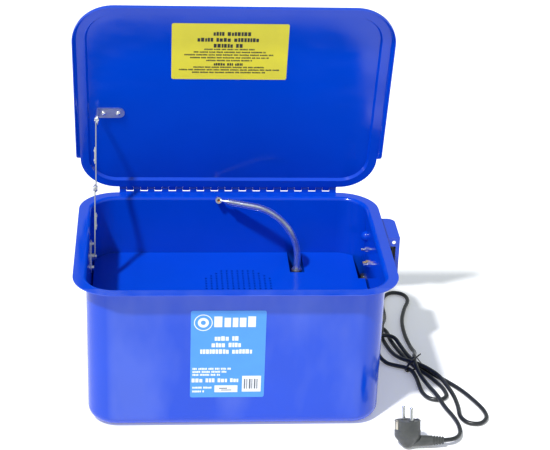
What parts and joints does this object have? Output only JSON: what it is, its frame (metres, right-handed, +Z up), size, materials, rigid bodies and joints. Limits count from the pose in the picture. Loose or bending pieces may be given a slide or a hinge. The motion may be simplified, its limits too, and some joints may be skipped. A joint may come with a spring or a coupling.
{
  "type": "parts washer tank",
  "caption": "Benchtop parts washer: blue steel tank with rim flange, hinged lid on a folding stay, perforated shelf, pump with swivelling spout, side switch box and mains lead with plug.",
  "frame": {"origin": "centre of the tank's flat bottom face", "axes": "+X to the right, towards the switch box; +Y to the back, towards the lid hinge; +Z up; the front is -Y"},
  "size_m": [0.5961, 0.4637, 0.5508],
  "materials": {
    "blue_enamel": "gloss enamel over pressed sheet steel",
    "zinc_steel": "bright zinc plate",
    "black_plastic": "satin moulded",
    "black_rubber": "matt",
    "brass": "dull machined",
    "clear_pvc": "clear flexible tube",
    "spiral_steel": "spiral wound tube",
    "bright_chrome": "bright nickel plate",
    "nickel_clip": "nickel plated strip",
    "brown_rocker": "polished moulded",
    "grey_plug": "fine textured moulded",
    "cable_tie": "moulded strip",
    "blue_label": "printed film",
    "yellow_label": "printed film"
  },
  "bodies": {
    "tank": {"tank_shell": "blue_enamel", "hinge_tank_leaf": "blue_enamel", "hinge_pin": "zinc_steel", "parts_shelf": "blue_enamel", "shelf_legs": "blue_enamel", "pump_body": "black_plastic", "pump_strainer": "black_plastic", "pump_feet": "black_rubber", "pump_outlet": "black_plastic", "supply_tube": "clear_pvc", "swivel_socket": "brass", "pump_lead": "black_rubber", "lead_gland": "black_plastic", "blanking_plug": "blue_enamel", "switch_box": "blue_enamel", "box_bolts": "zinc_steel", "box_nuts": "zinc_steel", "earth_stud": "brass", "box_cover_screw": "zinc_steel", "switch_bezel": "black_plastic", "switch_module": "black_plastic", "stay_wall_bracket": "zinc_steel", "bracket_bolts": "zinc_steel", "bracket_nuts": "zinc_steel", "stay_lower_rivet": "zinc_steel", "cord_gland": "black_plastic", "strain_relief": "black_rubber", "power_cord": "black_rubber", "cord_tie": "cable_tie", "plug_body": "grey_plug", "plug_pins": "bright_chrome", "plug_earth_clips": "nickel_clip", "front_label": "blue_label"},
    "rocker": {"switch_rocker": "brown_rocker"},
    "lid": {"lid_shell": "blue_enamel", "hinge_lid_leaf": "blue_enamel", "lid_label": "yellow_label", "stay_lid_bracket": "zinc_steel", "lid_bracket_rivets": "zinc_steel", "stay_upper_rivet": "zinc_steel"},
    "stay_upper": {"stay_upper_strip": "zinc_steel", "fusible_link": "brass", "link_rivets": "zinc_steel", "knee_rivet_head": "zinc_steel"},
    "stay_lower": {"stay_lower_strip": "zinc_steel", "stay_splice": "zinc_steel", "splice_rivets": "zinc_steel", "knee_rivet_tail": "zinc_steel"},
    "spout": {"swivel_spigot": "brass", "spout_core": "spiral_steel", "spout_sleeve": "clear_pvc", "spout_nozzle": "bright_chrome"}
  },
  "joints": [
    {"name": "lid_hinge", "type": "hinge", "parent": "tank", "child": "lid", "pos_m": [0, 0.168, 0.2272], "axis": [1, 0, 0], "range_deg": [0, 74]},
    {"name": "stay_lower_pivot", "type": "hinge", "parent": "tank", "child": "stay_lower", "pos_m": [-0.19945, 0.037, 0.1775], "axis": [1, 0, 0], "range_deg": [0, 126.15]},
    {"name": "stay_upper_pivot", "type": "hinge", "parent": "lid", "child": "stay_upper", "pos_m": [-0.19785, 0.11142, 0.36286], "axis": [1, 0, 0], "range_deg": [-107.12, 0]},
    {"name": "rocker_tilt", "type": "hinge", "parent": "tank", "child": "rocker", "pos_m": [0.228, 0.0422, 0.1745], "axis": [1, 0, 0], "range_deg": [-16, 0]},
    {"name": "spout_swivel", "type": "hinge", "parent": "tank", "child": "spout", "pos_m": [0.103, 0.0885, 0.124], "axis": [0, 0, 1], "range_deg": [0, 110]}
  ],
  "couplings": [
    {"joint": "stay_lower_pivot", "follows": "lid_hinge", "ratio": 1.7046},
    {"joint": "stay_upper_pivot", "follows": "lid_hinge", "ratio": -1.4474}
  ]
}
